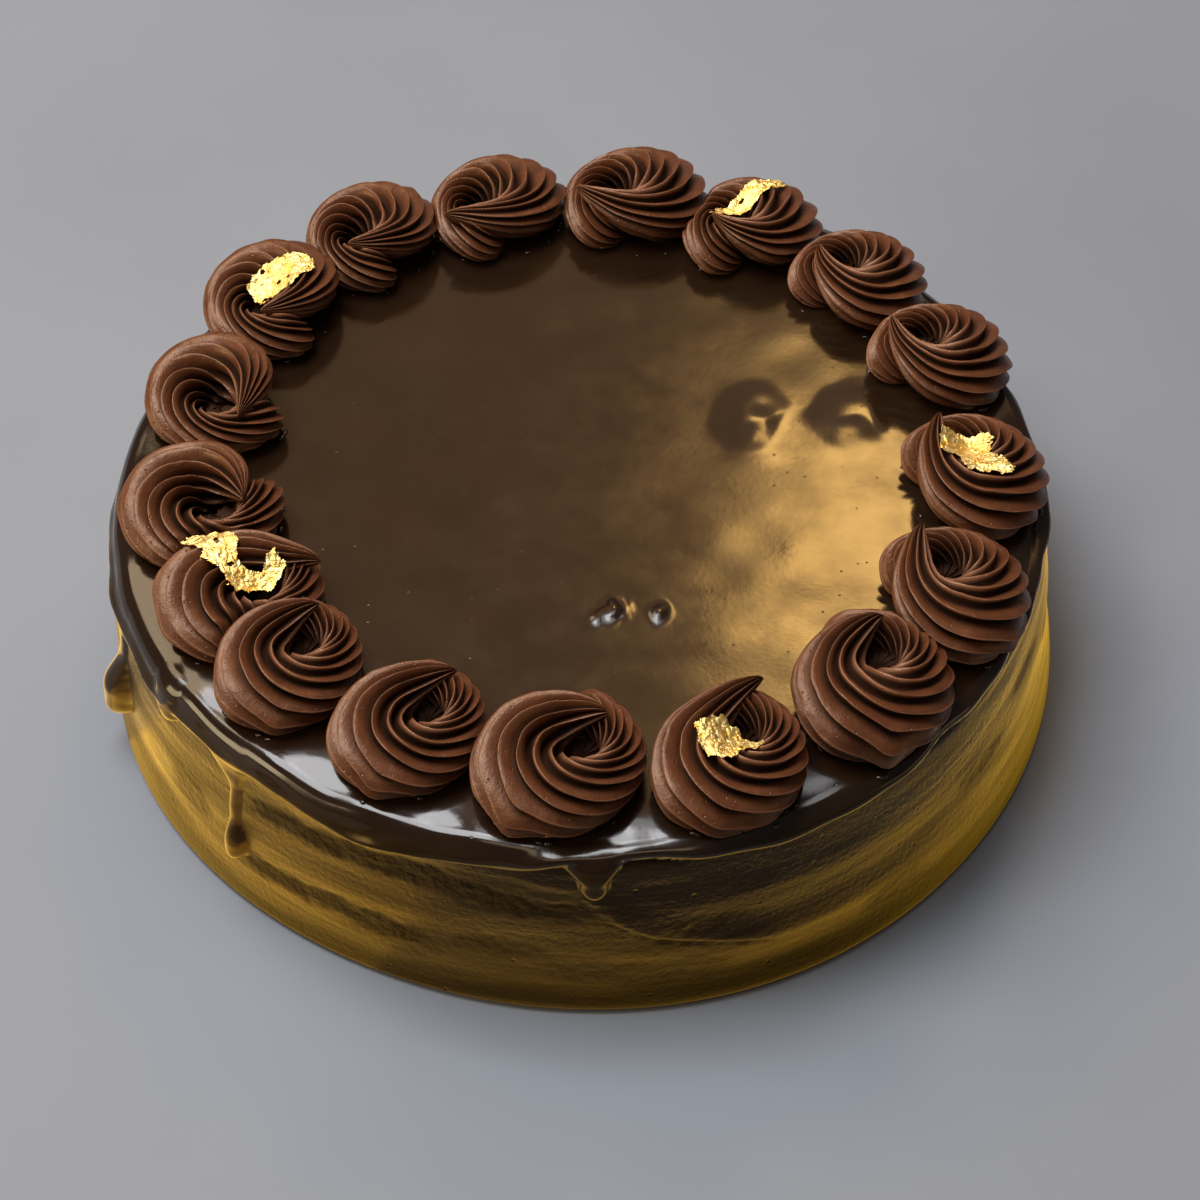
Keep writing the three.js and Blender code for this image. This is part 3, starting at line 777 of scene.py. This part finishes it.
def make_beads(glaze, rosettes, look):
    """Small beads of glaze pushed up round the feet of the rosettes."""
    draws = np.random.default_rng(7)
    tree = BVHTree.FromObject(glaze, bpy.context.evaluated_depsgraph_get())
    around = np.linspace(0, 2 * math.pi, DROP_SIDES, endpoint=False)[None, :]
    polar = np.linspace(0.1, math.pi - 0.1, DROP_RINGS)[:, None]
    east = np.sin(polar) * np.cos(around)
    north = np.sin(polar) * np.sin(around)
    ball = np.stack([east, north, np.cos(polar) + 0 * around], axis=-1).reshape(-1, 3)
    skin = closed_faces(DROP_RINGS, DROP_SIDES, True)
    points = []
    faces = []
    for row, piece in zip(ROSETTES, rosettes):
        middle = row[0] * heading(math.radians(row[1]))
        spots = np.array([vertex.co for vertex in piece.data.vertices]) / MM
        foot = spots[spots[:, 2] < GLAZE_TOP + 1.5][:, :2] - middle
        turns = np.arctan2(foot[:, 1], foot[:, 0])
        for turn in draws.uniform(-math.pi, math.pi, DROPS_EACH):
            beside = np.abs((turns - turn + math.pi) % (2 * math.pi) - math.pi) < 0.1
            reach = np.max(np.hypot(*foot[beside].T), initial=0.4 * row[2]) + draws.uniform(-0.2, 0.3)
            size = draws.uniform(0.3, 0.8)
            place = middle + reach * heading(turn)
            hit = tree.ray_cast(Vector((place[0] * MM, place[1] * MM, 0.1)), Vector((0, 0, -1)))[0]
            if hit is None or hit.z / MM < GLAZE_TOP - 2.5:
                continue
            along = heading(turn + math.pi / 2)
            bead = ball * np.array([size * draws.uniform(1, 2), size, 0.6 * size])
            level = place + bead[:, :1] * along + bead[:, 1:2] * heading(turn)
            faces += [[corner + len(points) * len(ball) for corner in face] for face in skin]
            points.append(np.column_stack([level, bead[:, 2] + hit.z / MM]))
    piece = make_piece("glaze_beads", np.concatenate(points), faces, look, None)
    add_values(piece, "side", np.zeros(len(points) * len(ball)))


def inside_outline(x, y, outline):
    """Tells which points lie inside an outline."""
    inside = np.zeros(x.shape, bool)
    for (x0, y0), (x1, y1) in zip(outline, outline[1:] + outline[:1]):
        crosses = (y0 > y) != (y1 > y)
        at = x0 + (x1 - x0) * (y - y0) / ((y1 - y0) or 1e-9)
        inside ^= crosses & (x < at)
    return inside


def draped_height(x, y, pieces):
    """Height of foil that rests on the highest of some pieces and hangs across what lies lower."""
    trees = [BVHTree.FromObject(piece, bpy.context.evaluated_depsgraph_get()) for piece in pieces]
    top = np.full(x.shape, GLAZE_TOP + 2.0)
    for spot in np.ndindex(x.shape):
        start = Vector((x[spot] * MM, y[spot] * MM, 0.1))
        hits = [tree.ray_cast(start, Vector((0, 0, -1)))[0] for tree in trees]
        top[spot] = max([top[spot]] + [hit.z / MM for hit in hits if hit])
    held = top.copy()
    for _ in range(DRAPE_ROUNDS):
        spread = np.pad(held, 1, mode="edge")
        mean = (spread[2:, 1:-1] + spread[:-2, 1:-1] + spread[1:-1, 2:] + spread[1:-1, :-2]) / 4
        held = np.maximum(mean, top)
    return held


def make_leaf(index, rosettes, look):
    """Crumpled flake of foil draped over the cream."""
    number, outline = LEAVES[index]
    orbit, azimuth = ROSETTES[number - 1][:2]
    outward = math.radians(azimuth)
    low = np.min(outline, axis=0) - 1
    high = np.max(outline, axis=0) + 1
    spots_x = np.arange(low[0], high[0], LEAF_STEP)
    spots_y = np.arange(low[1], high[1], LEAF_STEP)
    x, y = np.meshgrid(spots_x, spots_y, indexing="ij")
    flat = np.stack([x, y, 0 * x], axis=-1)
    ragged_x = x + 0.5 * noise(flat / 1.3, 51 + index) + 0.3 * noise(flat / 0.5, 61 + index)
    ragged_y = y + 0.5 * noise(flat / 1.3, 71 + index) + 0.3 * noise(flat / 0.5, 81 + index)
    holes = noise(flat / 1.6, 91 + index) < -0.84
    kept = inside_outline(ragged_x, ragged_y, outline) & ~holes
    world_x = (orbit + x) * math.cos(outward) - y * math.sin(outward)
    world_y = (orbit + x) * math.sin(outward) + y * math.cos(outward)
    folds = 0.55 * np.abs(noise(flat / 2.2, 101 + index)) + 0.3 * np.abs(noise(flat / 0.9, 111 + index))
    height = draped_height(world_x, world_y, rosettes) + LEAF_LIFT + folds
    points = np.stack([world_x, world_y, height], axis=-1).reshape(-1, 3)
    rows, columns = x.shape
    cell = np.arange(rows * columns).reshape(rows, columns)
    corners = np.stack([cell[:-1, :-1], cell[1:, :-1], cell[1:, 1:], cell[:-1, 1:]], axis=-1).reshape(-1, 4)
    faces = corners[np.all(kept.reshape(-1)[corners], axis=1)]
    used = np.unique(faces)
    order = np.full(rows * columns, -1)
    order[used] = np.arange(len(used))
    name = f"gold_leaf_{index + 1}"
    piece = make_piece(f"foil_{index + 1}", points[used], order[faces], look, name)
    piece.data.polygons.foreach_set("use_smooth", [False] * len(faces))
    thick = piece.modifiers.new("thickness", "SOLIDIFY")
    thick.thickness = LEAF_THICK * MM


def make_floor():
    corners = [(-1, -1), (1, -1), (1, 1), (-1, 1)]
    mesh = bpy.data.meshes.new("floor")
    mesh.from_pydata([(FLOOR_HALF * x, FLOOR_HALF * y, FLOOR_LEVEL) for x, y in corners], [], [(0, 1, 2, 3)])
    look = Look("pale_floor")
    cloud = look.ramp(look.noise(9, 3), [(0.3, (0.183, 0.205, 0.246)), (0.7, (0.203, 0.225, 0.266))])
    look.link(cloud, look.shader.inputs["Base Color"])
    look.shader.inputs["Roughness"].default_value = 0.7
    mesh.materials.append(look.material)
    floor = bpy.data.objects.new("floor", mesh)
    bpy.context.scene.collection.objects.link(floor)


def add_lamp(name, shape, place, power, colour):
    light = bpy.data.lights.new(name, "AREA")
    light.shape = shape
    light.energy = power
    light.color = colour
    lamp = bpy.data.objects.new(name, light)
    lamp.location = place
    bpy.context.scene.collection.objects.link(lamp)
    return lamp


def make_light(name, place, aim, size, power, colour):
    """Soft light that faces what it is aimed at."""
    lamp = add_lamp(name, "RECTANGLE", place, power, colour)
    lamp.data.size, lamp.data.size_y = size
    lamp.rotation_mode = "QUATERNION"
    lamp.rotation_quaternion = (Vector(aim) - Vector(place)).to_track_quat("-Z", "Y")


def make_low_glow(name, place, size, power):
    """Warm glow from below beside the foot, which the wall mirrors."""
    lamp = add_lamp(name, "DISK", place, power, GLOW_COLOUR)
    lamp.data.size = size
    lamp.rotation_euler = (math.pi, 0, 0)
    lamp.visible_camera = False


def make_studio():
    for row in LIGHTS:
        make_light(*row)
    for row in GLOWS:
        make_low_glow(*row)
    world = bpy.data.worlds.new("studio")
    world.use_nodes = True
    world.node_tree.nodes["Background"].inputs["Color"].default_value = STUDIO_COLOUR
    world.node_tree.nodes["Background"].inputs["Strength"].default_value = STUDIO_STRENGTH
    bpy.context.scene.world = world


def make_camera():
    data = bpy.data.cameras.new("camera")
    data.lens = CAMERA_LENS
    data.sensor_width = CAMERA_SENSOR
    camera = bpy.data.objects.new("camera", data)
    columns = Matrix((CAMERA_RIGHT, CAMERA_UP, CAMERA_BACK)).transposed().to_4x4()
    camera.matrix_world = Matrix.Translation(CAMERA_PLACE) @ columns
    bpy.context.scene.collection.objects.link(camera)
    bpy.context.scene.camera = camera


bpy.context.scene.view_settings.view_transform = "Standard"
make_camera()
make_studio()
make_floor()
make_icing(icing_look())
chocolate = glaze_look()
poured = make_glaze(chocolate)
cream = cream_look()
border = [make_rosette(index, cream) for index in range(len(ROSETTES))]
bpy.context.view_layer.update()
make_beads(poured, border, chocolate)
gold = gold_look()
for leaf_index, (rosette_number, _) in enumerate(LEAVES):
    near = [border[rosette_number - 2], border[rosette_number - 1], border[rosette_number % len(border)]]
    make_leaf(leaf_index, near, gold)
bpy.context.view_layer.update()
